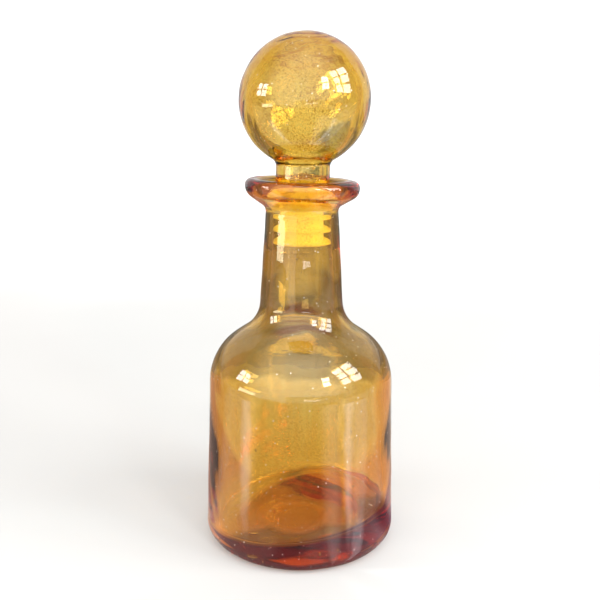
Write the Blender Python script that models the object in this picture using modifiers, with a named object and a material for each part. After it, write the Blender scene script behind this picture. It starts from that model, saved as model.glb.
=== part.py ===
"""Blown amber glass decanter with a hollow ball stopper and a ribbed plastic sleeve on the stopper's peg.

Units are metres, +Z is up, and the origin is the middle of the foot, on the surface that the bottle stands on.
Run it with blender --background --python part.py, or from Blender's text editor.
"""

import math

import bpy
from mathutils import Vector

# Bottle, outside
BODY_FOOT_RADIUS = 0.0450
BODY_TOP_RADIUS = 0.0420
SHOULDER_HEIGHT = 0.0898
SHOULDER_RISE = 0.0154
NECK_FOOT_RADIUS = 0.0194
NECK_LENGTH = 0.0511
LIP_RISE = 0.0060
LIP_OVERHANG = 0.0094
RIM_THICKNESS = 0.0062
HEEL_FILLET = 0.0064
SHOULDER_FILLET = 0.0267
NECK_FOOT_FILLET = 0.0159
LIP_ROOT_FILLET = 0.0036
LIP_NOSE_FILLET = 0.0060
KICK_RADIUS = 0.0300
KICK_DEPTH = 0.0060

# Bottle, inside
BORE_RADIUS = 0.0133
NECK_WALL = 0.0029
SHOULDER_WALL = 0.0026
FOOT_WALL = 0.0052
FLOOR_HEIGHT = 0.0096
FLOOR_TILT = math.radians(8.5)
FLOOR_PITCH = math.radians(3.2)
PUNT_RADIUS = 0.0300
PUNT_HEIGHT = 0.0050
PUNT_FILLET = 0.0080
FLOOR_FILLET = 0.0040
THROAT_FILLET = 0.0040
RIM_WIDTH = 0.0062
BORE_MARGIN = 0.0020

# Ribbed sleeve on the peg
SLEEVE_LENGTH = 0.0233
SLEEVE_WALL = 0.0012
FLANGE_THICKNESS = 0.0012
FLANGE_OVERHANG = 0.00255
RIB_COUNT = 3
RIB_PITCH = 0.0056
RIB_ROOT = 0.0017
RIB_TIP = 0.0008
STOP_THICKNESS = 0.0010
STOP_WIDTH = 0.0024

# Ball stopper
BALL_RADIUS = 0.0287
BALL_WALL = 0.0045
CROWN_WALL = 0.0052
BALL_FILLET = 0.0035
STEM_LENGTH = 0.0129
STEM_WALL = 0.0036
STEM_FILLET = 0.0015
PEG_RADIUS = 0.0080
PEG_WALL = 0.0024
PEG_FILLET = 0.0010

# Clearances between pieces
SEAT_CLEARANCE = 0.0003
RIB_CLEARANCE = 0.0003
PEG_CLEARANCE = 0.0003
STEM_CLEARANCE = 0.0013

# Fineness of the turned surfaces
TURN_STEPS = 40
ARC_STEP = math.radians(15)
AXIS_MERGE = 0.00001

# Share of the rim's thickness, or of a side's length, that one rounding may take
ROUND_SHARE = 0.49

# Places that follow from the sizes
CAVITY_RADIUS = BODY_FOOT_RADIUS - FOOT_WALL
NECK_TOP_RADIUS = BORE_RADIUS + NECK_WALL
LIP_RADIUS = NECK_TOP_RADIUS + LIP_OVERHANG
MOUTH_RADIUS = LIP_RADIUS - RIM_WIDTH
NECK_FOOT_Z = SHOULDER_HEIGHT + SHOULDER_RISE
LIP_ROOT_Z = NECK_FOOT_Z + NECK_LENGTH
LIP_UNDER_Z = LIP_ROOT_Z + LIP_RISE
LIP_TOP_Z = LIP_UNDER_Z + RIM_THICKNESS
STEM_RADIUS = BORE_RADIUS - STEM_CLEARANCE
SLEEVE_BORE = PEG_RADIUS + PEG_CLEARANCE
SLEEVE_CORE = SLEEVE_BORE + SLEEVE_WALL
SLEEVE_BOTTOM = FLANGE_THICKNESS - SLEEVE_LENGTH
RIB_RADIUS = BORE_RADIUS - RIB_CLEARANCE
FLANGE_RADIUS = BORE_RADIUS + FLANGE_OVERHANG
FUNNEL_SLOPE = (LIP_TOP_Z - LIP_ROOT_Z) / (MOUTH_RADIUS - BORE_RADIUS)
STEM_BOTTOM = FLANGE_THICKNESS + SEAT_CLEARANCE


def flange_seat_height():
    """Height of the flange's lower edge when its cone sits in the funnel of the bottle's mouth."""
    return LIP_ROOT_Z + FLANGE_OVERHANG * FUNNEL_SLOPE + SEAT_CLEARANCE * math.hypot(1, FUNNEL_SLOPE)


def arc(centre, radius, start, end):
    """Points on an arc in the (radius, height) plane, both ends included."""
    count = max(2, math.ceil(abs(end - start) / ARC_STEP))
    angles = [start + (end - start) * i / count for i in range(count + 1)]
    return [Vector((centre[0] + radius * math.cos(a), centre[1] + radius * math.sin(a))) for a in angles]


def rounded(corners):
    """Outline through (radius, height, fillet) corners, each corner rounded by its fillet."""
    points = []
    places = [Vector(corner[:2]) for corner in corners]
    for i, place in enumerate(places):
        fillet = corners[i][2]
        if fillet == 0 or i in (0, len(places) - 1):
            points.append(place)
            continue
        back, ahead = places[i - 1] - place, places[i + 1] - place
        half_angle = back.angle(ahead) / 2
        spare = [side.length * (ROUND_SHARE if other[2] else 2 * ROUND_SHARE)
                 for side, other in ((back, corners[i - 1]), (ahead, corners[i + 1]))]
        reach = min(fillet / math.tan(half_angle), *spare)
        radius = reach * math.tan(half_angle)
        middle = (back.normalized() + ahead.normalized()).normalized()
        centre = place + middle * (radius / math.sin(half_angle))
        first = place + back.normalized() * reach - centre
        last = place + ahead.normalized() * reach - centre
        start = math.atan2(first.y, first.x)
        turn = (math.atan2(last.y, last.x) - start + math.pi) % math.tau - math.pi
        points += arc(centre, radius, start, start + turn)
    return points


def inset_corner(before, corner, after, wall_before, wall_after):
    """Where two sides of an outline that runs upwards meet once each is moved towards the axis by its wall."""
    sides = []
    for start, end, wall in ((before, corner, wall_before), (corner, after, wall_after)):
        along = (Vector(end) - Vector(start)).normalized()
        sides.append((Vector(start) + Vector((-along.y, along.x)) * wall, along))
    (p, along_p), (q, along_q) = sides
    reach = (q - p).cross(along_q) / along_p.cross(along_q)
    return p + along_p * reach


def ball_on_stem(ball_radius, ball_z, stem_radius, fillet):
    """Outline of a ball from its top, through a hollow fillet, to the upright side of the stem under it."""
    drop = math.sqrt((ball_radius + fillet) ** 2 - (stem_radius + fillet) ** 2)
    fillet_centre = (stem_radius + fillet, ball_z - drop)
    towards_fillet = math.atan2(-drop, stem_radius + fillet)
    points = arc((0, ball_z), ball_radius, math.pi / 2, towards_fillet)
    return points + arc(fillet_centre, fillet, towards_fillet + math.pi, math.pi)[1:]


def shallow_dome(edge_radius, edge_z, rise):
    """Outline of a shallow dome from its middle on the axis out to its edge."""
    radius = (edge_radius**2 + rise**2) / (2 * rise)
    half_angle = math.asin(edge_radius / radius)
    centre = (0, edge_z + rise - radius)
    count = 4
    angles = [math.pi / 2 - half_angle * i / count for i in range(count + 1)]
    return [Vector((radius * math.cos(a), centre[1] + radius * math.sin(a))) for a in angles]


def finish_material(name, colour, roughness, transmission):
    """Principled material of one piece."""
    material = bpy.data.materials.new(name)
    material.use_nodes = True
    shader = material.node_tree.nodes["Principled BSDF"]
    shader.inputs["Base Color"].default_value = (*colour, 1)
    shader.inputs["Roughness"].default_value = roughness
    shader.inputs["Metallic"].default_value = 0
    shader.inputs["Transmission Weight"].default_value = transmission
    material.diffuse_color = (*colour, 1)
    return material


def turned(name, outline, closed, material, collection):
    """Solid turned about +Z from an outline that runs down its outer side, as a mesh object."""
    profile = bpy.data.meshes.new(name + "_profile")
    count = len(outline)
    edges = [(i, i + 1) for i in range(count - 1)] + ([(count - 1, 0)] if closed else [])
    profile.from_pydata([(p.x, 0, p.y) for p in outline], edges, [])
    lathe = bpy.data.objects.new(name + "_lathe", profile)
    collection.objects.link(lathe)
    screw = lathe.modifiers.new("turn", "SCREW")
    screw.axis = "Z"
    screw.angle = math.tau
    screw.steps = screw.render_steps = TURN_STEPS
    screw.use_merge_vertices = True
    screw.merge_threshold = AXIS_MERGE
    graph = bpy.context.evaluated_depsgraph_get()
    mesh = bpy.data.meshes.new_from_object(lathe.evaluated_get(graph))
    bpy.data.objects.remove(lathe)
    bpy.data.meshes.remove(profile)
    mesh.name = name
    mesh.shade_smooth()
    mesh.set_sharp_from_angle(angle=math.radians(40))
    mesh.materials.clear()
    mesh.materials.append(material)
    solid = bpy.data.objects.new(name, mesh)
    collection.objects.link(solid)
    return solid


def tilt_floor(bottle):
    """Leans the floor round the punt, so that the glass under it is thickest at the right and the front."""
    lowest = KICK_DEPTH + AXIS_MERGE
    highest = FLOOR_HEIGHT + PUNT_HEIGHT + AXIS_MERGE
    for vertex in bottle.data.vertices:
        radius = math.hypot(vertex.co.x, vertex.co.y)
        if radius < CAVITY_RADIUS + FOOT_WALL / 2 and lowest < vertex.co.z < highest:
            lean = vertex.co.x * math.tan(FLOOR_TILT) - vertex.co.y * math.tan(FLOOR_PITCH)
            vertex.co.z += lean * min(1, radius / PUNT_RADIUS)


def build_bottle(collection):
    """One piece of glass: body with a heavy uneven base, rounded shoulder, straight neck and flared lip."""
    foot = (BODY_FOOT_RADIUS, 0)
    shoulder = (BODY_TOP_RADIUS, SHOULDER_HEIGHT)
    neck_foot = (NECK_FOOT_RADIUS, NECK_FOOT_Z)
    lip_root = (NECK_TOP_RADIUS, LIP_ROOT_Z)
    cavity_shoulder = inset_corner(foot, shoulder, neck_foot, SHOULDER_WALL, SHOULDER_WALL)
    cavity_neck = inset_corner(shoulder, neck_foot, lip_root, SHOULDER_WALL, NECK_WALL)
    bore_end = flange_seat_height() + SLEEVE_BOTTOM - BORE_MARGIN
    rim_fillet = ROUND_SHARE * RIM_THICKNESS
    punt = shallow_dome(PUNT_RADIUS, FLOOR_HEIGHT, PUNT_HEIGHT)
    wall = rounded(
        [
            (*punt[-2], 0),
            (*punt[-1], PUNT_FILLET),
            (CAVITY_RADIUS, FLOOR_HEIGHT, FLOOR_FILLET),
            (*cavity_shoulder, SHOULDER_FILLET - SHOULDER_WALL),
            (*cavity_neck, NECK_FOOT_FILLET + NECK_WALL),
            (BORE_RADIUS, bore_end, NECK_FOOT_FILLET),
            (BORE_RADIUS, LIP_ROOT_Z, THROAT_FILLET),
            (MOUTH_RADIUS, LIP_TOP_Z, rim_fillet),
            (LIP_RADIUS, LIP_TOP_Z, rim_fillet),
            (LIP_RADIUS, LIP_UNDER_Z, LIP_NOSE_FILLET),
            (*lip_root, LIP_ROOT_FILLET),
            (*neck_foot, NECK_FOOT_FILLET),
            (*shoulder, SHOULDER_FILLET),
            (*foot, HEEL_FILLET),
            (KICK_RADIUS, 0, 0),
        ]
    )
    kick_up = shallow_dome(KICK_RADIUS, 0, KICK_DEPTH)
    outline = punt[:-2] + wall + kick_up[-2::-1]
    material = finish_material("amber_bottle_glass", (0.72, 0.42, 0.08), 0.03, 1.0)
    bottle = turned("bottle", outline, False, material, collection)
    tilt_floor(bottle)
    return bottle


def rib_outline(middle):
    """One flexible rib of the sleeve, from its upper root out to its tip and back to its lower root."""
    half_root, half_tip = RIB_ROOT / 2, RIB_TIP / 2
    heights = ((SLEEVE_CORE, half_root), (RIB_RADIUS, half_tip), (RIB_RADIUS, -half_tip), (SLEEVE_CORE, -half_root))
    return [Vector((radius, middle + offset)) for radius, offset in heights]


def build_sleeve(collection):
    """Plastic sleeve that grips the peg: a conical flange in the mouth, ribs in the bore, a stop under the peg."""
    outline = [
        Vector((SLEEVE_BORE, FLANGE_THICKNESS)),
        Vector((FLANGE_RADIUS, FLANGE_THICKNESS)),
        Vector((FLANGE_RADIUS, 0)),
        Vector((RIB_RADIUS, (RIB_RADIUS - FLANGE_RADIUS) * FUNNEL_SLOPE)),
        Vector((SLEEVE_CORE, (RIB_RADIUS - FLANGE_RADIUS) * FUNNEL_SLOPE)),
    ]
    lowest_rib = SLEEVE_BOTTOM + RIB_ROOT / 2
    for number in range(RIB_COUNT, 0, -1):
        outline += rib_outline(lowest_rib + (number - 1) * RIB_PITCH)
    outline += [
        Vector((SLEEVE_BORE - STOP_WIDTH, SLEEVE_BOTTOM)),
        Vector((SLEEVE_BORE - STOP_WIDTH, SLEEVE_BOTTOM + STOP_THICKNESS)),
        Vector((SLEEVE_BORE, SLEEVE_BOTTOM + STOP_THICKNESS)),
    ]
    material = finish_material("milky_plastic", (0.86, 0.84, 0.76), 0.35, 0.0)
    return turned("stopper_sleeve", outline, True, material, collection)


def build_ball_stopper(collection):
    """One piece of blown glass: a hollow ball, a stem that fills the mouth, and a hollow peg inside the sleeve."""
    ball_z = STEM_BOTTOM + STEM_LENGTH + math.sqrt(BALL_RADIUS**2 - STEM_RADIUS**2)
    hollow_z = ball_z - (CROWN_WALL - BALL_WALL)
    stem_bore = STEM_RADIUS - STEM_WALL
    peg_bore = PEG_RADIUS - PEG_WALL
    peg_end = SLEEVE_BOTTOM + STOP_THICKNESS + SEAT_CLEARANCE
    outside = ball_on_stem(BALL_RADIUS, ball_z, STEM_RADIUS, BALL_FILLET)
    hollow = ball_on_stem(BALL_RADIUS - BALL_WALL, hollow_z, stem_bore, BALL_FILLET)
    lower = rounded(
        [
            (*outside[-1], 0),
            (STEM_RADIUS, STEM_BOTTOM, STEM_FILLET),
            (PEG_RADIUS, STEM_BOTTOM, 0),
            (PEG_RADIUS, peg_end, PEG_FILLET),
            (peg_bore, peg_end, PEG_FILLET),
            (peg_bore, STEM_BOTTOM, STEM_WALL),
            (stem_bore, STEM_BOTTOM + STEM_WALL + stem_bore - peg_bore, STEM_WALL),
            (*hollow[-1], 0),
        ]
    )
    outline = outside[:-1] + lower + hollow[-2::-1]
    material = finish_material("amber_stopper_glass", (0.78, 0.50, 0.10), 0.03, 1.0)
    return turned("ball_stopper", outline, False, material, collection)


def main():
    for old in list(bpy.data.objects):
        bpy.data.objects.remove(old)
    decanter = bpy.data.collections.new("decanter")
    bpy.context.scene.collection.children.link(decanter)
    build_bottle(decanter)
    stopper_axis = bpy.data.objects.new("stopper_axis", None)
    stopper_axis.location = (0, 0, flange_seat_height())
    decanter.objects.link(stopper_axis)
    for piece in (build_sleeve(decanter), build_ball_stopper(decanter)):
        piece.parent = stopper_axis


main()
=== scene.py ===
"""Looks of the amber glass decanter.

Finely turned glass with blown waves, seeds and streaks, and the ribbed sleeve of its stopper. Units are
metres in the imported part's own frame: +Z up, the bottle standing on z = 0 about the origin.
"""

import math
import random

import bmesh
import bpy
import numpy as np
from mathutils import Matrix, Vector


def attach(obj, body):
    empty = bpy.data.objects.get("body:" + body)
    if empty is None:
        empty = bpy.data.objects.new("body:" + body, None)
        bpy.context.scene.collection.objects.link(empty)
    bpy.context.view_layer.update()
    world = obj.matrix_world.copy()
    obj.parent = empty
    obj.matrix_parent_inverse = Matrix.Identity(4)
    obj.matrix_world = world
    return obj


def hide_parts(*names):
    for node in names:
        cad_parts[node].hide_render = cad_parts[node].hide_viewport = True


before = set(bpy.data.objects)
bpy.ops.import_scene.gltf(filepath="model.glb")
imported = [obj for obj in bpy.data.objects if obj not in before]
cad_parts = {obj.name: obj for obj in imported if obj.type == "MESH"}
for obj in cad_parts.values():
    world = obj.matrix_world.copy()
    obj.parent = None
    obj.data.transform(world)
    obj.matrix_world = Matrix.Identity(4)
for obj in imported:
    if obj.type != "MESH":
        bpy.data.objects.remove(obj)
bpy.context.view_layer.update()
chance = random.Random(7)

# Bottle outside
BODY_FOOT_RADIUS = 0.0450
BODY_TOP_RADIUS = 0.0420
SHOULDER_HEIGHT = 0.0898
SHOULDER_RISE = 0.0154
NECK_FOOT_RADIUS = 0.0194
NECK_LENGTH = 0.0511
LIP_RISE = 0.0060
LIP_OVERHANG = 0.0094
RIM_THICKNESS = 0.0062
HEEL_FILLET = 0.0064
SHOULDER_FILLET = 0.0267
NECK_FOOT_FILLET = 0.0159
LIP_ROOT_FILLET = 0.0036
LIP_NOSE_FILLET = 0.0060
LIP_TILT = math.radians(1.5)
KICK_RADIUS = 0.0300
KICK_DEPTH = 0.0060

# Bottle inside
BORE_RADIUS = 0.0133
NECK_WALL = 0.0029
SHOULDER_WALL = 0.0026
FOOT_WALL = 0.0052
FLOOR_HEIGHT = 0.0096
FLOOR_TILT = math.radians(8.5)
FLOOR_PITCH = math.radians(3.2)
PUNT_RADIUS = 0.0300
PUNT_HEIGHT = 0.0050
PUNT_FILLET = 0.0080
FLOOR_FILLET = 0.0040
FLOOR_REACH = 0.0350
HUMP_PLACE = (0.0110, 0.0240)
HUMP_HEIGHT = 0.0028
HUMP_WIDTH = 0.0085
THROAT_FILLET = 0.0040
RIM_WIDTH = 0.0062
BORE_MARGIN = 0.0020

# Sleeve on the peg
SLEEVE_LENGTH = 0.0233
SLEEVE_WALL = 0.0012
FLANGE_THICKNESS = 0.0012
FLANGE_OVERHANG = 0.00255
RIB_COUNT = 3
RIB_PITCH = 0.0056
RIB_ROOT = 0.0017
RIB_TIP = 0.0008
STOP_THICKNESS = 0.0010
STOP_WIDTH = 0.0024
RIB_SOFTNESS = 0.0003

# Ball stopper
BALL_RADIUS = 0.0287
BALL_WALL = 0.0045
CROWN_WALL = 0.0052
BALL_FILLET = 0.0035
STEM_LENGTH = 0.0129
STEM_WALL = 0.0036
STEM_FILLET = 0.0015
PEG_RADIUS = 0.0080
PEG_WALL = 0.0024
PEG_FILLET = 0.0010
BALL_LEAN = math.tan(math.radians(1.0))

# Clearances
SEAT_CLEARANCE = 0.0003
RIB_CLEARANCE = 0.0003
PEG_CLEARANCE = 0.0003
STEM_CLEARANCE = 0.0013

# Waves of the hand-blown surfaces: height, length and the number that their dice start from
CAVITY_WAVES = (0.00022, 0.045, 1)
SKIN_WAVES = (0.00004, 0.012, 3)
BALL_SKIN_WAVES = (0.00004, 0.010, 7)
HOLLOW_WAVES = (0.00022, 0.020, 9)
WAVE_COUNT = 14
WAVE_SPREAD = (0.6, 1.4)

# Swirl in the hollow of the ball: rings round its crown and ribs down its side, at angles from its top
SWIRL_HEIGHT = 0.00006
SWIRL_DRIFT = 2.5
SWIRL_DRIFT_WAVES = (0.014, 5)
CROWN_RINGS = 30
CROWN_TWIST = 2
CROWN_FADE_IN = (0.0, 0.3)
CROWN_FADE_OUT = (1.25, 0.75)
SIDE_RIBS = 34
SIDE_TWIST = 3
SIDE_DRIFT = 2
SIDE_SHARE = 0.6
SIDE_FADE_IN = (0.7, 1.1)
SIDE_FADE_OUT = (2.3, 1.9)

# Seeds in the bottle's glass, with the middles and half sizes of the large ones at the front of the base
SEED_FLATNESS = 0.7
SEED_DRAW = (1.0, 1.8)
SEED_LEAN = 0.5
WALL_SEEDS = 24
WALL_SEED_SIZES = (0.00020, 0.00045)
WALL_SEED_RADII = (0.0422, 0.0430)
WALL_SEED_HEIGHTS = (0.020, 0.060)
BASE_SEEDS = 50
BASE_SEED_SIZES = (0.00020, 0.00055)
BASE_SEED_RADIUS = 0.042
BASE_SEED_SPREAD = (0.05, 0.95)
BASE_SEED_HEIGHTS = (0.0035, 0.0050)
NECK_SEEDS = 36
NECK_SEED_SIZES = (0.00020, 0.00040)
NECK_SEED_RADII = (0.0150, 0.0158)
NECK_SEED_HEIGHTS = (0.122, 0.140)
LARGE_SEEDS = (
    ((0.0088, -0.0400, 0.0088), (0.0008, 0.0008, 0.0009)),
    ((0.0164, -0.0375, 0.0092), (0.0009, 0.0008, 0.0008)),
    ((-0.0200, -0.0365, 0.0050), (0.0030, 0.0006, 0.0006)),
    ((-0.0200, -0.0372, 0.0165), (0.0022, 0.0006, 0.0006)),
)

# Finish of the glass
GLASS_IOR = 1.5
CLEAR = (1.0, 1.0, 1.0)
CORD_SCALE = 420.0
CORD_EDGES = (0.42, 0.66)
CORD_TINT = (1.0, 0.96, 0.88)
GRAIN_SCALE = 1300.0
GRAIN_CLOUD_SCALE = 70.0
GRAIN_CLOUD_SHARE = 0.3
GRAIN_EDGES = (0.70, 0.84)
GRAIN_BROWN = (0.40, 0.24, 0.08)
SWIRL_SCALE = 110.0
SWIRL_STRETCH = (1, 1, 4)
SWIRL_DISTORTION = 0.8
SWIRL_EDGES = (0.54, 0.68)
SWIRL_EASE = 0.012
SWIRL_SHARE = 0.8
SWIRL_BROWN = (0.52, 0.26, 0.06)
BALL_SWIRL_RISE = 0.008
DUST_SCALE = 300.0
DUST_EDGES = (0.04, 0.085)
DUST_FRONT = (-0.006, 0.010)
DUST_PALE = (1.0, 0.95, 0.85)
DUST_ROUGHNESS = 0.5
SHINE_SCALE = 140.0
SHINE_ROUGHNESS = 0.02
OUTER_MARK = "outer"

# Finish of the sleeve, the floor and the cards
PLASTIC_SCALE = 260.0
PLASTIC_PALE = (1.0, 0.98, 0.38)
PLASTIC_DEEP = (0.97, 0.94, 0.30)
PLASTIC_ROUGHNESS = 0.35
PLASTIC_GRAIN = 0.15
FLOOR_SCALE = 8.0
FLOOR_PALE = (0.38, 0.38, 0.375)
FLOOR_DEEP = (0.36, 0.36, 0.355)
FLOOR_BRIGHTENING = (0.1, 1.4)
CARD_SCALE = 6.0
CARD_MOTTLE = 0.9

# Brightness of the stage
FLOOR_GLOW = 0.16
WALL_GLOW = 0.60
ROOM_GLOW = 0.40
SKY_GLOW = 2.8
SKY_MIDDLE = (0.0, -0.94, 0.34)
SKY_EDGES = (0.1, 0.95)
CEILING_GLOW = 1.0
CEILING_EDGES = (0.70, 1.0)
WINDOW_GLOW = 20.0

# Places on the stage
STAGE_SIDE = 2.5
STAGE_FRONT = -2.0
STAGE_TOP = 2.5
SWEEP_Y = 1.2
SWEEP_RADIUS = 0.6
DIM_CARD_Y = 0.25
GREY_CARD_Y = 0.26
CARD_SIDE = 0.5
CARD_SEAM_Z = 0.130
FRONT_CARD_Y = -1.0
SIDE_CARD_REACH = 0.6
SIDE_CARD_BEARINGS = range(100, 151, 10)
FLOOR_PATCHES_SIDE = 1.2
FLOOR_PATCHES_Z = 0.00005
CARD_PATCHES_Y = 0.249
CARD_PATCHES_TOP = 0.300
WINDOW_TARGET = Vector((0, 0, 0.13))
WINDOW_DISTANCE = 1.0
PANE_SHARE = 0.82

# Camera
CAMERA_PLACE = (-0.00063, -0.3475, 0.1954)
CAMERA_DIP = 13.26
CAMERA_ROLL = 0.5
CAMERA_LENS = 46.6
CAMERA_SENSOR = 36.0
CAMERA_NEAR = 0.01

# Fineness of the turned surfaces
TURN_STEPS = 168
SLEEVE_STEPS = 128
DOME_STEPS = 24
PUNT_EDGE_POINTS = 5
ARC_STEP = math.radians(4)
SIDE_STEP = 0.0012
ROUND_SHARE = 0.49
BUBBLE_FINENESS = 2
POLE_REACH = 0.0001
WELD_REACH = 1e-6
TINY = 1e-12

# Places that follow from the sizes
CAVITY_RADIUS = BODY_FOOT_RADIUS - FOOT_WALL
FLOOR_TOP = FLOOR_HEIGHT + PUNT_HEIGHT
NECK_TOP_RADIUS = BORE_RADIUS + NECK_WALL
LIP_RADIUS = NECK_TOP_RADIUS + LIP_OVERHANG
MOUTH_RADIUS = LIP_RADIUS - RIM_WIDTH
NECK_FOOT_Z = SHOULDER_HEIGHT + SHOULDER_RISE
LIP_ROOT_Z = NECK_FOOT_Z + NECK_LENGTH
LIP_UNDER_Z = LIP_ROOT_Z + LIP_RISE
LIP_TOP_Z = LIP_UNDER_Z + RIM_THICKNESS
FUNNEL_SLOPE = (LIP_TOP_Z - LIP_ROOT_Z) / (MOUTH_RADIUS - BORE_RADIUS)
SEAT_Z = LIP_ROOT_Z + FLANGE_OVERHANG * FUNNEL_SLOPE + SEAT_CLEARANCE * math.hypot(1, FUNNEL_SLOPE)
STEM_RADIUS = BORE_RADIUS - STEM_CLEARANCE
SLEEVE_BORE = PEG_RADIUS + PEG_CLEARANCE
SLEEVE_CORE = SLEEVE_BORE + SLEEVE_WALL
SLEEVE_TOP = SEAT_Z + FLANGE_THICKNESS
SLEEVE_BOTTOM = SLEEVE_TOP - SLEEVE_LENGTH
RIB_RADIUS = BORE_RADIUS - RIB_CLEARANCE
FLANGE_RADIUS = BORE_RADIUS + FLANGE_OVERHANG
STEM_BOTTOM = SLEEVE_TOP + SEAT_CLEARANCE
BALL_Z = STEM_BOTTOM + STEM_LENGTH + math.sqrt(BALL_RADIUS**2 - STEM_RADIUS**2)


def arc(centre, radius, start, end):
    """Points on an arc in the (radius, height) plane, both ends included."""
    count = max(2, math.ceil(abs(end - start) / ARC_STEP))
    angles = [start + (end - start) * i / count for i in range(count + 1)]
    return [Vector((centre[0] + radius * math.cos(a), centre[1] + radius * math.sin(a))) for a in angles]


def rounded(corners):
    """Outline through (radius, height, fillet) corners, each corner rounded by its fillet."""
    points = []
    places = [Vector(corner[:2]) for corner in corners]
    for i, place in enumerate(places):
        fillet = corners[i][2]
        if fillet == 0 or i in (0, len(places) - 1):
            points.append(place)
            continue
        back, ahead = places[i - 1] - place, places[i + 1] - place
        half_angle = back.angle(ahead) / 2
        spare = [side.length * (ROUND_SHARE if other[2] else 2 * ROUND_SHARE)
                 for side, other in ((back, corners[i - 1]), (ahead, corners[i + 1]))]
        reach = min(fillet / math.tan(half_angle), *spare)
        radius = reach * math.tan(half_angle)
        middle = (back.normalized() + ahead.normalized()).normalized()
        centre = place + middle * (radius / math.sin(half_angle))
        first = place + back.normalized() * reach - centre
        last = place + ahead.normalized() * reach - centre
        start = math.atan2(first.y, first.x)
        turn = (math.atan2(last.y, last.x) - start + math.pi) % math.tau - math.pi
        points += arc(centre, radius, start, start + turn)
    return points


def inset_corner(before, corner, after, wall_before, wall_after):
    """Where two sides of an outline that runs upwards meet, once each is moved inwards by its wall."""
    sides = []
    for start, end, wall in ((before, corner, wall_before), (corner, after, wall_after)):
        along = (Vector(end) - Vector(start)).normalized()
        sides.append((Vector(start) + Vector((-along.y, along.x)) * wall, along))
    (p, along_p), (q, along_q) = sides
    reach = (q - p).cross(along_q) / along_p.cross(along_q)
    return p + along_p * reach


def ball_on_stem(ball_radius, ball_z, stem_radius, fillet):
    """Outline of a ball from its top, through a hollow fillet, to the upright side of the stem under it."""
    drop = math.sqrt((ball_radius + fillet) ** 2 - (stem_radius + fillet) ** 2)
    fillet_centre = (stem_radius + fillet, ball_z - drop)
    towards_fillet = math.atan2(-drop, stem_radius + fillet)
    points = arc((0, ball_z), ball_radius, math.pi / 2, towards_fillet)
    return points + arc(fillet_centre, fillet, towards_fillet + math.pi, math.pi)[1:]


def shallow_dome(edge_radius, edge_z, rise):
    """Outline of a shallow dome from its middle on the axis out to its edge."""
    radius = (edge_radius**2 + rise**2) / (2 * rise)
    half_angle = math.asin(edge_radius / radius)
    angles = [math.pi / 2 - half_angle * i / DOME_STEPS for i in range(DOME_STEPS + 1)]
    return [Vector((radius * math.cos(a), edge_z + rise - radius + radius * math.sin(a))) for a in angles]


def evenly_stepped(outline):
    """Outline with every long side cut into steps, so that waves can run over it."""
    points = [outline[0]]
    for start, end in zip(outline, outline[1:]):
        count = max(1, math.ceil((end - start).length / SIDE_STEP))
        points += [start.lerp(end, i / count) for i in range(1, count + 1)]
    return points


def fade(values, none, full):
    """Shares that run from 0 where the values are none to 1 where they are full."""
    return np.clip((values - none) / (full - none), 0, 1)


def waves(points, length, seed):
    """Smooth random heights, about -1 to 1, at points in space; length is that of one wave."""
    dice = np.random.default_rng(seed)
    heights = np.zeros(len(points))
    for _ in range(WAVE_COUNT):
        way = dice.normal(size=3)
        way *= dice.uniform(*WAVE_SPREAD) * math.tau / length / np.linalg.norm(way)
        heights += np.sin(points @ way + dice.uniform(0, math.tau))
    return heights * math.sqrt(1.0 / WAVE_COUNT)


def turned(outline, steps=TURN_STEPS):
    """Rings of points and outward normals of an outline, turned about +Z, that runs down its outer side."""
    line = np.array([tuple(p) for p in outline])
    tangent = np.gradient(line, axis=0)
    tangent /= np.maximum(np.linalg.norm(tangent, axis=1, keepdims=True), TINY)
    angles = np.arange(steps) * math.tau / steps
    around = np.stack([np.cos(angles), np.sin(angles)], axis=1)
    points = np.empty((len(line), steps, 3))
    normals = np.empty_like(points)
    points[:, :, :2] = line[:, 0, None, None] * around
    points[:, :, 2] = line[:, 1, None]
    normals[:, :, :2] = -tangent[:, 1, None, None] * around
    normals[:, :, 2] = tangent[:, 0, None]
    return points, normals


def ring_mesh(name, points, closed, bubbles=(), outer_rings=slice(0)):
    """Piece whose skin joins rings of points, with the shells of bubbles in it and its outer rings marked."""
    rings, steps = points.shape[:2]
    numbers = np.arange(rings * steps).reshape(rings, steps)
    upper, lower = (numbers, np.roll(numbers, -1, axis=0)) if closed else (numbers[:-1], numbers[1:])
    quads = np.stack([upper, lower, np.roll(lower, -1, axis=1), np.roll(upper, -1, axis=1)], axis=2)
    places = [tuple(p) for p in points.reshape(-1, 3)]
    faces = quads.reshape(-1, 4).tolist()
    ball = bmesh.new()
    bmesh.ops.create_icosphere(ball, subdivisions=BUBBLE_FINENESS, radius=1)
    for centre, radii, turn in bubbles:
        matrix = Matrix.Translation(centre) @ turn @ Matrix.Diagonal((*radii, 1))
        first = len(places)
        places += [tuple(matrix @ vertex.co) for vertex in ball.verts]
        faces += [[first + vertex.index for vertex in reversed(face.verts)] for face in ball.faces]
    ball.free()
    mesh = bpy.data.meshes.new(name)
    mesh.from_pydata(places, [], faces)
    outer = np.zeros(len(places))
    outer[numbers[outer_rings].ravel()] = 1
    mesh.attributes.new(OUTER_MARK, "FLOAT", "POINT").data.foreach_set("value", outer)
    shape = bmesh.new()
    shape.from_mesh(mesh)
    poles = [v for v in shape.verts if math.hypot(v.co.x, v.co.y) < POLE_REACH or v.is_boundary]
    bmesh.ops.remove_doubles(shape, verts=poles, dist=WELD_REACH)
    shape.to_mesh(mesh)
    shape.free()
    mesh.shade_smooth()
    piece = bpy.data.objects.new(name, mesh)
    bpy.context.scene.collection.objects.link(piece)
    return piece


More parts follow.
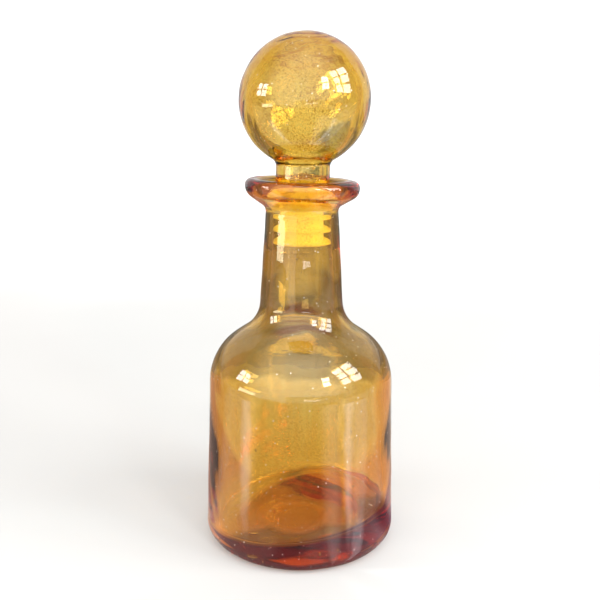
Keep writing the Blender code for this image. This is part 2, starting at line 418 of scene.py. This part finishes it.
def blown(points, normals, height, length, seed):
    """The points moved along their normals by slow waves, as on glass that was blown and turned by hand."""
    flat, along = points.reshape(-1, 3), normals.reshape(-1, 3)
    moved = flat + along * (height * waves(flat, length, seed))[:, None]
    return moved.reshape(points.shape)


def bottle_outlines():
    """Outlines of the cavity, from its floor's middle to the rim, and of the outside, from rim to foot."""
    foot = (BODY_FOOT_RADIUS, 0)
    shoulder = (BODY_TOP_RADIUS, SHOULDER_HEIGHT)
    neck_foot = (NECK_FOOT_RADIUS, NECK_FOOT_Z)
    lip_root = (NECK_TOP_RADIUS, LIP_ROOT_Z)
    cavity_shoulder = inset_corner(foot, shoulder, neck_foot, SHOULDER_WALL, SHOULDER_WALL)
    cavity_neck = inset_corner(shoulder, neck_foot, lip_root, SHOULDER_WALL, NECK_WALL)
    bore_end = SLEEVE_BOTTOM - BORE_MARGIN
    rim_fillet = ROUND_SHARE * RIM_THICKNESS
    punt = shallow_dome(PUNT_RADIUS, FLOOR_HEIGHT, PUNT_HEIGHT)
    rim = ((MOUTH_RADIUS + LIP_RADIUS) / 2, LIP_TOP_Z, 0)
    inside = punt[:-PUNT_EDGE_POINTS] + rounded(
        [
            (*punt[-PUNT_EDGE_POINTS], 0),
            (*punt[-1], PUNT_FILLET),
            (CAVITY_RADIUS, FLOOR_HEIGHT, FLOOR_FILLET),
            (*cavity_shoulder, SHOULDER_FILLET - SHOULDER_WALL),
            (*cavity_neck, NECK_FOOT_FILLET + NECK_WALL),
            (BORE_RADIUS, bore_end, NECK_FOOT_FILLET),
            (BORE_RADIUS, LIP_ROOT_Z, THROAT_FILLET),
            (MOUTH_RADIUS, LIP_TOP_Z, rim_fillet),
            rim,
        ]
    )
    outside = rounded(
        [
            rim,
            (LIP_RADIUS, LIP_TOP_Z, rim_fillet),
            (LIP_RADIUS, LIP_UNDER_Z, LIP_NOSE_FILLET),
            (*lip_root, LIP_ROOT_FILLET),
            (*neck_foot, NECK_FOOT_FILLET),
            (*shoulder, SHOULDER_FILLET),
            (*foot, HEEL_FILLET),
            (KICK_RADIUS, 0, 0),
        ]
    )
    kick_up = shallow_dome(KICK_RADIUS, 0, KICK_DEPTH)
    return evenly_stepped(inside), evenly_stepped(outside + kick_up[-2::-1])


def lean_floor(points):
    """Leans the floor round the punt, thickest at the right and the front, with a hump at the back."""
    x, y, z = np.moveaxis(points, 2, 0)
    share = fade(np.hypot(x, y), 0, PUNT_RADIUS)
    ease = fade(z, FLOOR_TOP + FLOOR_REACH, FLOOR_TOP)
    lean = x * math.tan(FLOOR_TILT) - y * math.tan(FLOOR_PITCH)
    away = np.hypot(x - HUMP_PLACE[0], y - HUMP_PLACE[1])
    hump = HUMP_HEIGHT * np.exp(-0.5 * (away / HUMP_WIDTH) ** 2)
    points[:, :, 2] += lean * ease * share + (z < FLOOR_TOP) * hump


def lean_lip(points):
    """Lowers the right side of the lip, which was tooled a little askew."""
    ease = fade(points[:, :, 2], LIP_ROOT_Z, LIP_UNDER_Z)
    points[:, :, 2] -= points[:, :, 0] * math.tan(LIP_TILT) * ease


def seed_bubbles(count, choose_place, smallest, largest):
    """Small bubbles in the glass, each drawn out a little along the wall."""
    bubbles = []
    for _ in range(count):
        angle, radius, height = choose_place()
        place = Vector((radius * math.cos(angle), radius * math.sin(angle), height))
        size = smallest + (largest - smallest) * chance.random() ** 2
        lean = chance.uniform(-SEED_LEAN, SEED_LEAN)
        radii = (SEED_FLATNESS * size, size, size * chance.uniform(*SEED_DRAW))
        bubbles.append((place, radii, Matrix.Rotation(angle, 4, "Z") @ Matrix.Rotation(lean, 4, "X")))
    return bubbles


def bottle_bubbles():
    """Seeds in the wall, base and neck of the bottle, after the few large ones at the front of the base."""
    def in_wall():
        angle = chance.uniform(0, math.tau)
        return angle, chance.uniform(*WALL_SEED_RADII), chance.uniform(*WALL_SEED_HEIGHTS)

    def in_base():
        angle = chance.uniform(0, math.tau)
        radius = BASE_SEED_RADIUS * math.sqrt(chance.uniform(*BASE_SEED_SPREAD))
        return angle, radius, chance.uniform(*BASE_SEED_HEIGHTS)

    def in_neck():
        angle = chance.uniform(0, math.tau)
        return angle, chance.uniform(*NECK_SEED_RADII), chance.uniform(*NECK_SEED_HEIGHTS)

    placed = [(Vector(place), radii, Matrix.Identity(4)) for place, radii in LARGE_SEEDS]
    placed += seed_bubbles(WALL_SEEDS, in_wall, *WALL_SEED_SIZES)
    placed += seed_bubbles(BASE_SEEDS, in_base, *BASE_SEED_SIZES)
    return placed + seed_bubbles(NECK_SEEDS, in_neck, *NECK_SEED_SIZES)


def make_bottle():
    """The bottle's glass, with its cavity, waves and seeds."""
    inside, outside = bottle_outlines()
    cavity = blown(*turned(inside), *CAVITY_WAVES)
    skin = blown(*turned(outside), *SKIN_WAVES)
    lean_floor(cavity)
    skin[:, :, 2] = np.maximum(skin[:, :, 2], 0)
    points = np.concatenate([cavity, skin[1:]])
    lean_lip(points)
    return ring_mesh("bottle_glass", points, False, bottle_bubbles(), slice(len(cavity), None))


def gathered(points):
    """Ripple heights of the swirl left in the ball's hollow where the glass was gathered."""
    flat = points.reshape(-1, 3) - np.array((0, 0, BALL_Z))
    around = np.arctan2(flat[:, 1], flat[:, 0])
    from_top = np.arccos(np.clip(flat[:, 2] / np.maximum(np.linalg.norm(flat, axis=1), TINY), -1, 1))
    drift = SWIRL_DRIFT * waves(flat, *SWIRL_DRIFT_WAVES)
    rings = np.sin(from_top * CROWN_RINGS + around * CROWN_TWIST + drift)
    ribs = np.sin(around * SIDE_RIBS + from_top * SIDE_TWIST + SIDE_DRIFT * drift)
    crown = fade(from_top, *CROWN_FADE_IN) * fade(from_top, *CROWN_FADE_OUT)
    side = fade(from_top, *SIDE_FADE_IN) * fade(from_top, *SIDE_FADE_OUT)
    return (rings * crown + SIDE_SHARE * ribs * side).reshape(points.shape[:2])


def make_stopper():
    """The stopper's glass: hollow ball, stem and open peg."""
    hollow_z = BALL_Z - (CROWN_WALL - BALL_WALL)
    stem_bore = STEM_RADIUS - STEM_WALL
    peg_bore = PEG_RADIUS - PEG_WALL
    peg_end = SLEEVE_BOTTOM + STOP_THICKNESS + SEAT_CLEARANCE
    outside = ball_on_stem(BALL_RADIUS, BALL_Z, STEM_RADIUS, BALL_FILLET)
    hollow = ball_on_stem(BALL_RADIUS - BALL_WALL, hollow_z, stem_bore, BALL_FILLET)
    lower = rounded(
        [
            (*outside[-1], 0),
            (STEM_RADIUS, STEM_BOTTOM, STEM_FILLET),
            (PEG_RADIUS, STEM_BOTTOM, 0),
            (PEG_RADIUS, peg_end, PEG_FILLET),
            (peg_bore, peg_end, PEG_FILLET),
            (peg_bore, STEM_BOTTOM, STEM_WALL),
            (stem_bore, STEM_BOTTOM + STEM_WALL + stem_bore - peg_bore, STEM_WALL),
            (*hollow[-1], 0),
        ]
    )
    skin, skin_normals = turned(evenly_stepped(outside[:-1] + lower[:-1]))
    bore, bore_normals = turned(evenly_stepped(hollow[::-1]))
    above_lip = skin[:, 0, 2] > LIP_TOP_Z
    skin[above_lip] = blown(skin, skin_normals, *BALL_SKIN_WAVES)[above_lip]
    bore = blown(bore, bore_normals, *HOLLOW_WAVES)
    bore += bore_normals * (SWIRL_HEIGHT * gathered(bore))[:, :, None]
    points = np.concatenate([skin, bore])
    points[:, :, 0] += BALL_LEAN * np.clip(points[:, :, 2] - STEM_BOTTOM, 0, None)
    return ring_mesh("stopper_glass", points, False, outer_rings=slice(len(skin)))


def make_sleeve():
    """The plastic sleeve with soft-edged ribs."""
    cone_bottom = SEAT_Z - (FLANGE_RADIUS - RIB_RADIUS) * FUNNEL_SLOPE
    corners = [
        (SLEEVE_BORE, SLEEVE_TOP, 0),
        (FLANGE_RADIUS, SLEEVE_TOP, RIB_SOFTNESS),
        (FLANGE_RADIUS, SEAT_Z, RIB_SOFTNESS),
        (RIB_RADIUS, cone_bottom, RIB_SOFTNESS),
        (SLEEVE_CORE, cone_bottom, RIB_SOFTNESS),
    ]
    for number in range(RIB_COUNT, 0, -1):
        z = SLEEVE_BOTTOM + RIB_ROOT / 2 + (number - 1) * RIB_PITCH
        corners += [
            (SLEEVE_CORE, z + RIB_ROOT / 2, RIB_SOFTNESS),
            (RIB_RADIUS, z + RIB_TIP / 2, RIB_SOFTNESS),
            (RIB_RADIUS, z - RIB_TIP / 2, RIB_SOFTNESS),
            (SLEEVE_CORE, z - RIB_ROOT / 2, RIB_SOFTNESS),
        ]
    stop_radius = SLEEVE_BORE - STOP_WIDTH
    corners += [
        (stop_radius, SLEEVE_BOTTOM, RIB_SOFTNESS),
        (stop_radius, SLEEVE_BOTTOM + STOP_THICKNESS, RIB_SOFTNESS),
        (SLEEVE_BORE, SLEEVE_BOTTOM + STOP_THICKNESS, 0),
    ]
    points, _ = turned(rounded(corners), SLEEVE_STEPS)
    return ring_mesh("ribbed_sleeve", points, True)


class Signal:
    """One output of a node graph, with arithmetic that adds Math nodes."""

    def __init__(self, graph, socket):
        self.graph = graph
        self.socket = socket

    def combine(self, operation, first, second):
        return self.graph.add("ShaderNodeMath", {"operation": operation}, {0: first, 1: second})

    def __add__(self, other):
        return self.combine("ADD", self, other)

    def __radd__(self, other):
        return self.combine("ADD", other, self)

    def __sub__(self, other):
        return self.combine("SUBTRACT", self, other)

    def __rsub__(self, other):
        return self.combine("SUBTRACT", other, self)

    def __mul__(self, other):
        return self.combine("MULTIPLY", self, other)

    def __rmul__(self, other):
        return self.combine("MULTIPLY", other, self)

    def __pow__(self, other):
        return self.combine("POWER", self, other)

    def __rpow__(self, other):
        return self.combine("POWER", other, self)


class Graph:
    """Node graph of one material or of the world."""

    MIX_FIRST, MIX_SECOND, MIX_RESULT = 6, 7, 2

    def __init__(self, tree):
        self.tree = tree

    def add(self, kind, settings=None, inputs=None, output=0):
        """A node of a kind, with its settings and the values or links of its inputs; gives one output."""
        node = self.tree.nodes.new(kind)
        for key, value in (settings or {}).items():
            setattr(node, key, value)
        for key, value in (inputs or {}).items():
            if isinstance(value, Signal):
                self.tree.links.new(value.socket, node.inputs[key])
            else:
                node.inputs[key].default_value = value
        return Signal(self, node.outputs[output]) if node.outputs else None

    def place(self):
        """Where a point of the surface lies in its own object."""
        return self.add("ShaderNodeTexCoord", output="Object")

    def along(self, place, axis):
        """One coordinate of a place."""
        return self.add("ShaderNodeSeparateXYZ", None, {"Vector": place}, axis)

    def stretched(self, place, scale):
        """A place scaled along each axis."""
        return self.add("ShaderNodeMapping", None, {"Vector": place, "Scale": scale})

    def noise(self, place, scale, detail=2.0, distortion=0.0):
        """Cloudy values, mostly near 0.5."""
        inputs = {"Vector": place, "Scale": scale, "Detail": detail, "Distortion": distortion}
        return self.add("ShaderNodeTexNoise", None, inputs, "Fac")

    def eased(self, value, low, high, first=0.0, last=1.0):
        """Eases from first to last while the value goes from low to high."""
        inputs = {"Value": value, "From Min": low, "From Max": high, "To Min": first, "To Max": last}
        return self.add("ShaderNodeMapRange", {"interpolation_type": "SMOOTHSTEP"}, inputs)

    def mixed(self, share, first, second):
        """Goes from the first colour to the second by a share; each is a signal or red, green and blue."""
        first, second = (c if isinstance(c, Signal) else (*c, 1) for c in (first, second))
        inputs = {"Factor": share, self.MIX_FIRST: first, self.MIX_SECOND: second}
        return self.add("ShaderNodeMix", {"data_type": "RGBA"}, inputs, self.MIX_RESULT)

    def vector(self, operation, inputs, output=0):
        """A Vector Math node."""
        return self.add("ShaderNodeVectorMath", {"operation": operation}, inputs, output)

    def finish(self, surface, depth=None):
        """Ends a material's graph with its surface and, for glass, what its depth does to light."""
        inputs = {"Surface": surface, "Volume": depth} if depth else {"Surface": surface}
        self.add("ShaderNodeOutputMaterial", None, inputs)


def new_material(name):
    """Empty material and its node graph."""
    material = bpy.data.materials.new(name)
    material.use_nodes = True
    material.node_tree.nodes.clear()
    return material, Graph(material.node_tree)


def amber_glass(name, cord_stretch, grain, swirl_from, tint, density):
    """Clear glass coloured by its depth, with drawn-out cords, dark grains, brown swirls and pale dust."""
    material, graph = new_material(name)
    place = graph.place()
    cords = graph.noise(graph.stretched(place, cord_stretch), CORD_SCALE, detail=3.0)
    corded = graph.mixed(graph.eased(cords, *CORD_EDGES), CORD_TINT, CLEAR)
    cloud = graph.noise(place, GRAIN_CLOUD_SCALE, detail=1.0)
    grains = graph.eased(graph.noise(place, GRAIN_SCALE) + cloud * GRAIN_CLOUD_SHARE, *GRAIN_EDGES)
    grained = graph.mixed(grains * grain, corded, GRAIN_BROWN)
    twist = graph.noise(graph.stretched(place, SWIRL_STRETCH), SWIRL_SCALE, distortion=SWIRL_DISTORTION)
    crown = graph.eased(graph.along(place, "Z"), swirl_from, swirl_from + SWIRL_EASE)
    swirl = graph.eased(twist, *SWIRL_EDGES) * crown * SWIRL_SHARE
    swirled = graph.mixed(swirl, grained, SWIRL_BROWN)
    apart = graph.add("ShaderNodeTexVoronoi", None, {"Vector": place, "Scale": DUST_SCALE}, "Distance")
    front = graph.eased(graph.along(place, "Y"), *DUST_FRONT, 1.0, 0.0)
    outer = graph.add("ShaderNodeAttribute", {"attribute_name": OUTER_MARK}, None, "Fac")
    dust = graph.eased(apart, *DUST_EDGES, 1.0, 0.0) * front * outer
    shine = graph.noise(place, SHINE_SCALE)
    bump = graph.add("ShaderNodeBump", None, {"Strength": 0.04, "Distance": 0.0004, "Height": cords})
    surface = graph.add(
        "ShaderNodeBsdfPrincipled",
        None,
        {
            "Base Color": graph.mixed(dust, swirled, DUST_PALE),
            "Metallic": dust,
            "Roughness": shine * SHINE_ROUGHNESS + dust * DUST_ROUGHNESS,
            "Normal": bump,
            "Transmission Weight": 1.0,
            "IOR": GLASS_IOR,
        },
    )
    depth = graph.add("ShaderNodeVolumeAbsorption", None, {"Color": (*tint, 1), "Density": density})
    graph.finish(surface, depth)
    return material


def milky_plastic():
    """Translucent yellowed plastic with a faint mould grain, and a painted glow that stands in for the light
    that crosses it.
    """
    material, graph = new_material("milky_plastic_look")
    cloud = graph.noise(graph.place(), PLASTIC_SCALE)
    tint = graph.mixed(cloud, PLASTIC_PALE, PLASTIC_DEEP)
    surface = graph.add(
        "ShaderNodeBsdfPrincipled",
        None,
        {
            "Base Color": tint,
            "Roughness": cloud * PLASTIC_GRAIN + PLASTIC_ROUGHNESS,
            "Subsurface Weight": 0.3,
            "Subsurface Radius": (0.004, 0.004, 0.003),
            "Subsurface Scale": 1.0,
            # Painted light: the sleeve glows faintly in its own tint, standing in for light that crosses the
            # plastic
            "Emission Color": tint,
            "Emission Strength": 0.18,
        },
    )
    graph.finish(surface)
    return material


def glowing_matt(graph, tint, roughness, glow, strength):
    """Matt surface that also glows."""
    matt = {"Base Color": tint, "Roughness": roughness}
    lit = {"Emission Color": glow, "Emission Strength": strength}
    return graph.add("ShaderNodeBsdfPrincipled", None, {**matt, **lit})


def pale_floor():
    """Pale matt floor with a faint mottling, softly lit like a light table and brighter towards the back."""
    material, graph = new_material("pale_floor")
    place = graph.place()
    tint = graph.mixed(graph.noise(place, FLOOR_SCALE), FLOOR_PALE, FLOOR_DEEP)
    far = graph.eased(graph.along(place, "Y"), *FLOOR_BRIGHTENING)
    glow = graph.mixed(far, (FLOOR_GLOW,) * 3, (WALL_GLOW,) * 3)
    graph.finish(glowing_matt(graph, tint, 0.8, glow, 1.0))
    return material


def card_material(name, colour, glow):
    """Matt card with a faint mottling, which glows unless its glow is 0."""
    material, graph = new_material(name)
    mottled = tuple(CARD_MOTTLE * part for part in colour)
    tint = graph.mixed(graph.noise(graph.place(), CARD_SCALE), colour, mottled)
    graph.finish(glowing_matt(graph, tint, 0.9, tint, glow))
    return material


def soft_band(graph, value, low, high, softness):
    """Share that is 1 where the value lies between low and high and eases to 0 outside."""
    rise, fall = (graph.eased(value, edge - softness, edge + softness) for edge in (low, high))
    return rise - fall


def sector(graph, place, start, bearings, bearing_softness, reaches, reach_softness):
    """Share of a patch on the floor between two bearings and two reaches from its starting point.

    Bearings are in degrees: 0 towards the camera, 90 to the right, 180 to the back.
    """
    x = graph.along(place, "X") - start[0]
    y = graph.along(place, "Y") - start[1]
    bearing = x.combine("ARCTAN2", x, -1.0 * y) * math.degrees(1)
    reach = (x * x + y * y) ** 0.5
    between = soft_band(graph, bearing, *bearings, bearing_softness)
    return between * soft_band(graph, reach, *reaches, reach_softness)


def oval(graph, place, middle, half_sizes, softness):
    """Share of an upright oval patch."""
    offset = graph.vector("SUBTRACT", {0: place, 1: middle})
    scaled = graph.vector("DIVIDE", {0: offset, 1: half_sizes})
    reach = graph.vector("LENGTH", {0: scaled}, "Value")
    return soft_band(graph, reach, -1.0, 1.0, softness)


def soft_patches(name, patches):
    """Soft patches of light and shade, each with its colour and shape, on a sheet that is clear elsewhere."""
    material, graph = new_material(name)
    place = graph.place()
    clear, light = 1.0, (0, 0, 0)
    for colour, shape, *limits in patches:
        share = shape(graph, place, *limits)
        clear = clear * (1.0 - share)
        part = graph.vector("SCALE", {0: colour, "Scale": share})
        light = graph.vector("ADD", {0: light, 1: part})
    cover = 1.0 - clear
    surface = graph.add(
        "ShaderNodeBsdfPrincipled",
        None,
        {
            "Base Color": (0, 0, 0, 1),
            "Roughness": 1.0,
            "Specular IOR Level": 0.0,
            "Emission Color": graph.vector("DIVIDE", {0: light, 1: cover}),
            "Emission Strength": 1.0,
            "Alpha": cover,
        },
    )
    graph.finish(surface)
    return material


def stage_sheet(name, rows, material):
    """A sheet of the stage, made from pairs of points, that isn't part of the object."""
    shape = bmesh.new()
    pairs = [[shape.verts.new(p) for p in row] for row in rows]
    for near, far in zip(pairs, pairs[1:]):
        shape.faces.new((near[0], near[1], far[1], far[0]))
    mesh = bpy.data.meshes.new(name)
    shape.to_mesh(mesh)
    shape.free()
    mesh.shade_smooth()
    sheet = bpy.data.objects.new(name, mesh)
    bpy.context.scene.collection.objects.link(sheet)
    sheet.data.materials.append(material)
    return sheet


def glass_sheet(name, rows, material):
    """A sheet of the stage that is seen in and through the glass alone."""
    sheet = stage_sheet(name, rows, material)
    sheet.visible_camera = sheet.visible_diffuse = sheet.visible_shadow = False


def glass_card(name, line, heights, colour, glow):
    """An upright card over a line on the floor, seen in and through the glass alone."""
    rows = [[(x, y, z) for z in heights] for x, y in line]
    glass_sheet(name, rows, card_material(name, colour, glow))


def make_floor():
    """A pale floor that sweeps up into the backdrop."""
    sweep = arc((SWEEP_Y, SWEEP_RADIUS), SWEEP_RADIUS, -math.pi / 2, 0)
    line = [(STAGE_FRONT, 0.0), *(tuple(p) for p in sweep), (SWEEP_Y + SWEEP_RADIUS, STAGE_TOP)]
    stage_sheet("floor", [((-STAGE_SIDE, y, z), (STAGE_SIDE, y, z)) for y, z in line], pale_floor())


def make_cards():
    """Upright cards round the bottle: behind it, at the camera's side and at both sides. They are seen only
    in and through the glass, as painted light and shade that it mirrors and bends.
    """
    def across(left, right, y):
        return (left, y), (right, y)

    side, seam, low = CARD_SIDE, CARD_SEAM_Z, (0.0, 0.20)
    front_grey, rosy = (0.50, 0.50, 0.49), (0.36, 0.24, 0.22)
    # Name, line on the floor, heights of its edges, colour and glow
    cards = (
        ("dim_card", across(-side, side, DIM_CARD_Y), (0.0, seam), (0.145, 0.142, 0.14), 0.0),
        ("grey_card", across(-side, side, GREY_CARD_Y), (seam, 0.60), (0.20, 0.20, 0.20), 1.7),
        ("front_card", across(-0.3, 1.4, FRONT_CARD_Y), low, front_grey, 0.9),
        ("left_front_card", across(-1.4, -0.3, FRONT_CARD_Y), low, front_grey, 3.6),
        ("low_pane", across(0.04, 0.40, -0.95), (0.060, 0.090), (0.80, 0.80, 0.78), 9.0),
        ("left_glare", ((-0.85, -0.18), (-0.70, -0.51)), (0.062, 0.135), (0.90, 0.84, 0.60), 13.0),
    )
    for card in cards:
        glass_card(*card)
    ways = [(math.sin(math.radians(a)), -math.cos(math.radians(a))) for a in SIDE_CARD_BEARINGS]
    for name, sign in (("left_card", -1), ("right_card", 1)):
        line = [(sign * SIDE_CARD_REACH * x, SIDE_CARD_REACH * y) for x, y in ways]
        glass_card(name, line, (0.0, 0.50), rosy, 0.5)


def make_floor_patches():
    """Patches of light and shade just over the floor, as the glass mirrors and bends them."""
    middle, left, right = (0, 0), (-0.0245, -0.0377), (0.0213, -0.0385)
    under = (0.52, 0.38, 0.50)
    # Colour, shape, starting point, bearings and their softness, reaches and their softness
    patches = [
        # Pale stripes out to both sides
        ((3.4, 3.6, 3.8), sector, left, (-76, -63), 5, (0.06, 0.35), 0.05),
        ((4.6, 4.8, 5.0), sector, right, (56, 66), 5, (0.045, 0.35), 0.04),
        ((1.5, 1.5, 1.45), sector, (0.0154, -0.0415), (28, 52), 10, (0.0, 0.40), 0.02),
        ((2.2, 2.3, 2.4), sector, right, (69, 90), 5, (0.0, 0.35), 0.02),
        # Shade towards the back corners and in front
        ((0.85, 0.62, 0.50), sector, middle, (98, 146), 6, (0.06, 1.20), 0.02),
        ((0.60, 0.40, 0.33), sector, middle, (-146, -98), 6, (0.06, 1.20), 0.02),
        ((0.42, 0.38, 0.30), sector, middle, (-50, 46), 6, (0.09, 0.80), 0.02),
        # Light in front of the foot
        ((0.9, 0.9, 1.0), sector, middle, (15, 75), 10, (0.050, 0.085), 0.006),
        ((1.1, 0.98, 0.90), sector, middle, (-80, -25), 10, (0.048, 0.085), 0.006),
        ((0.58, 0.50, 0.50), sector, middle, (-20, 5), 10, (0.048, 0.085), 0.006),
        # Under the base and close beside it
        (under, sector, middle, (-190, 190), 1, (-0.1, 0.014), 0.004),
        (under, sector, middle, (-190, -62), 12, (0.014, 0.030), 0.005),
        (under, sector, middle, (62, 190), 12, (0.014, 0.030), 0.005),
        ((0.22, 0.17, 0.15), sector, middle, (-62, 62), 12, (0.014, 0.044), 0.005),
        ((0.68, 0.59, 0.53), sector, middle, (-170, -62), 12, (0.030, 0.052), 0.006),
        ((0.85, 0.75, 0.45), sector, middle, (112, 170), 10, (0.030, 0.043), 0.005),
        ((0.28, 0.20, 0.26), sector, middle, (70, 112), 8, (0.032, 0.085), 0.006),
    ]
    for back in ((150, 190), (-190, -150)):
        patches.append(((0.74, 0.73, 0.68), sector, middle, back, 6, (0.06, 0.20), 0.02))
        patches.append(((0.44, 0.44, 0.43), sector, middle, back, 6, (0.20, 0.50), 0.02))
    side = FLOOR_PATCHES_SIDE
    rows = [((-side, y, FLOOR_PATCHES_Z), (side, y, FLOOR_PATCHES_Z)) for y in (-side, side)]
    glass_sheet("mirrored_floor", rows, soft_patches("mirrored_floor", patches))


def make_card_patches():
    """Patches of light and shade just before the dim card, as the glass shows them."""
    y = CARD_PATCHES_Y
    # Colour, shape, middle, half sizes and softness
    patches = [
        ((0.40, 0.38, 0.33), oval, (0.0, y, 0.1080), (0.60, 1.0, 0.0120), 0.5),
        ((0.21, 0.20, 0.18), oval, (0.0, y, 0.0740), (0.60, 1.0, 0.0200), 0.35),
        ((0.33, 0.32, 0.28), oval, (-0.012, y, 0.0830), (0.048, 1.0, 0.0170), 0.5),
        ((0.14, 0.05, 0.01), oval, (0.002, y, 0.0460), (0.036, 1.0, 0.0085), 0.4),
        ((0.72, 0.64, 0.42), oval, (0.0, y, 0.0235), (0.038, 1.0, 0.0078), 0.2),
        ((0.15, 0.20, 0.24), oval, (0.055, y, 0.124), (0.046, 1.0, 0.030), 0.4),
        ((0.26, 0.32, 0.36), oval, (0.092, y, 0.150), (0.026, 1.0, 0.032), 0.3),
    ]
    rows = [((x, y, 0.0), (x, y, CARD_PATCHES_TOP)) for x in (-CARD_SIDE, CARD_SIDE)]
    glass_sheet("dim_card_patches", rows, soft_patches("dim_card_patches", patches))


def window_light(name, towards, width, height, columns, rows, radiance):
    """A window of panes seen from the bottle in the given direction, facing it."""
    direction = Vector(towards).normalized()
    facing = (-direction).to_track_quat("-Z", "Y")
    middle = WINDOW_TARGET + direction * WINDOW_DISTANCE
    pane_width, pane_height = width / columns, height / rows
    for column in range(columns):
        for row in range(rows):
            light = bpy.data.lights.new(name, "AREA")
            light.shape = "RECTANGLE"
            light.size = PANE_SHARE * pane_width
            light.size_y = PANE_SHARE * pane_height
            light.energy = radiance * math.pi * light.size * light.size_y
            lamp = bpy.data.objects.new(name, light)
            aside = (column - (columns - 1) / 2) * pane_width
            above = (row - (rows - 1) / 2) * pane_height
            lamp.location = middle + facing @ Vector((aside, above, 0))
            lamp.rotation_euler = facing.to_euler()
            bpy.context.scene.collection.objects.link(lamp)


def make_lights():
    """Soft light from the room's front and above, two windows on the right and one on the left."""
    world = bpy.data.worlds.new("room")
    bpy.context.scene.world = world
    world.use_nodes = True
    world.node_tree.nodes.clear()
    graph = Graph(world.node_tree)
    way = graph.add("ShaderNodeTexCoord", output="Generated")
    ahead = graph.vector("DOT_PRODUCT", {0: way, 1: SKY_MIDDLE}, "Value")
    sky = graph.eased(ahead, *SKY_EDGES, ROOM_GLOW, SKY_GLOW)
    ceiling = graph.eased(graph.along(way, "Z"), *CEILING_EDGES, 0.0, CEILING_GLOW)
    glow = graph.add("ShaderNodeBackground", None, {"Color": (1.0, 0.99, 0.97, 1), "Strength": sky + ceiling})
    graph.add("ShaderNodeOutputWorld", None, {"Surface": glow})
    window_light("right_window", (0.79, -0.296, 0.49), 0.55, 0.60, 2, 3, 0.7 * WINDOW_GLOW)
    window_light("right_pane", (0.496, -0.732, 0.466), 0.22, 0.33, 1, 2, WINDOW_GLOW)
    window_light("left_window", (-0.948, -0.2, 0.30), 0.36, 0.30, 2, 2, 0.8 * WINDOW_GLOW)


def make_camera():
    """Camera at the photograph's height, distance and tilt."""
    camera_data = bpy.data.cameras.new("camera")
    camera_data.sensor_width = CAMERA_SENSOR
    camera_data.lens = CAMERA_LENS
    camera_data.clip_start = CAMERA_NEAR
    camera = bpy.data.objects.new("camera", camera_data)
    dip = Matrix.Rotation(math.radians(90 - CAMERA_DIP), 4, "X")
    roll = Matrix.Rotation(math.radians(CAMERA_ROLL), 4, "Z")
    camera.matrix_world = Matrix.Translation(CAMERA_PLACE) @ (dip @ roll)
    bpy.context.scene.collection.objects.link(camera)
    bpy.context.scene.camera = camera


def settle_render():
    """Plain colours, and enough bounces for light to cross the bottle and the stopper inside it."""
    scene = bpy.context.scene
    scene.view_settings.view_transform = "Standard"
    scene.view_settings.look = "None"
    scene.cycles.max_bounces = 32
    scene.cycles.transmission_bounces = 28
    scene.cycles.glossy_bounces = 8


def main():
    bottle_look = amber_glass(
        "bottle_glass_look",
        cord_stretch=(1, 1, 0.05),
        grain=0.3,
        swirl_from=LIP_ROOT_Z,
        tint=(0.939, 0.739, 0.0),
        density=330.0,
    )
    stopper_look = amber_glass(
        "stopper_glass_look",
        cord_stretch=(0.5, 0.5, 0.2),
        grain=0.7,
        swirl_from=BALL_Z + BALL_SWIRL_RISE,
        tint=(0.958, 0.795, 0.0),
        density=250.0,
    )
    pieces = (
        (make_bottle(), "bottle", "bottle", "amber_bottle_glass", bottle_look),
        (make_sleeve(), "sleeve", "stopper_sleeve", "milky_plastic", milky_plastic()),
        (make_stopper(), "stopper", "ball_stopper", "amber_stopper_glass", stopper_look),
    )
    for piece, body, node, slot, material in pieces:
        piece.data.materials.append(material)
        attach(piece, body)
        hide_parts(node)
    make_floor()
    make_cards()
    make_floor_patches()
    make_card_patches()
    make_lights()
    make_camera()
    settle_render()


main()
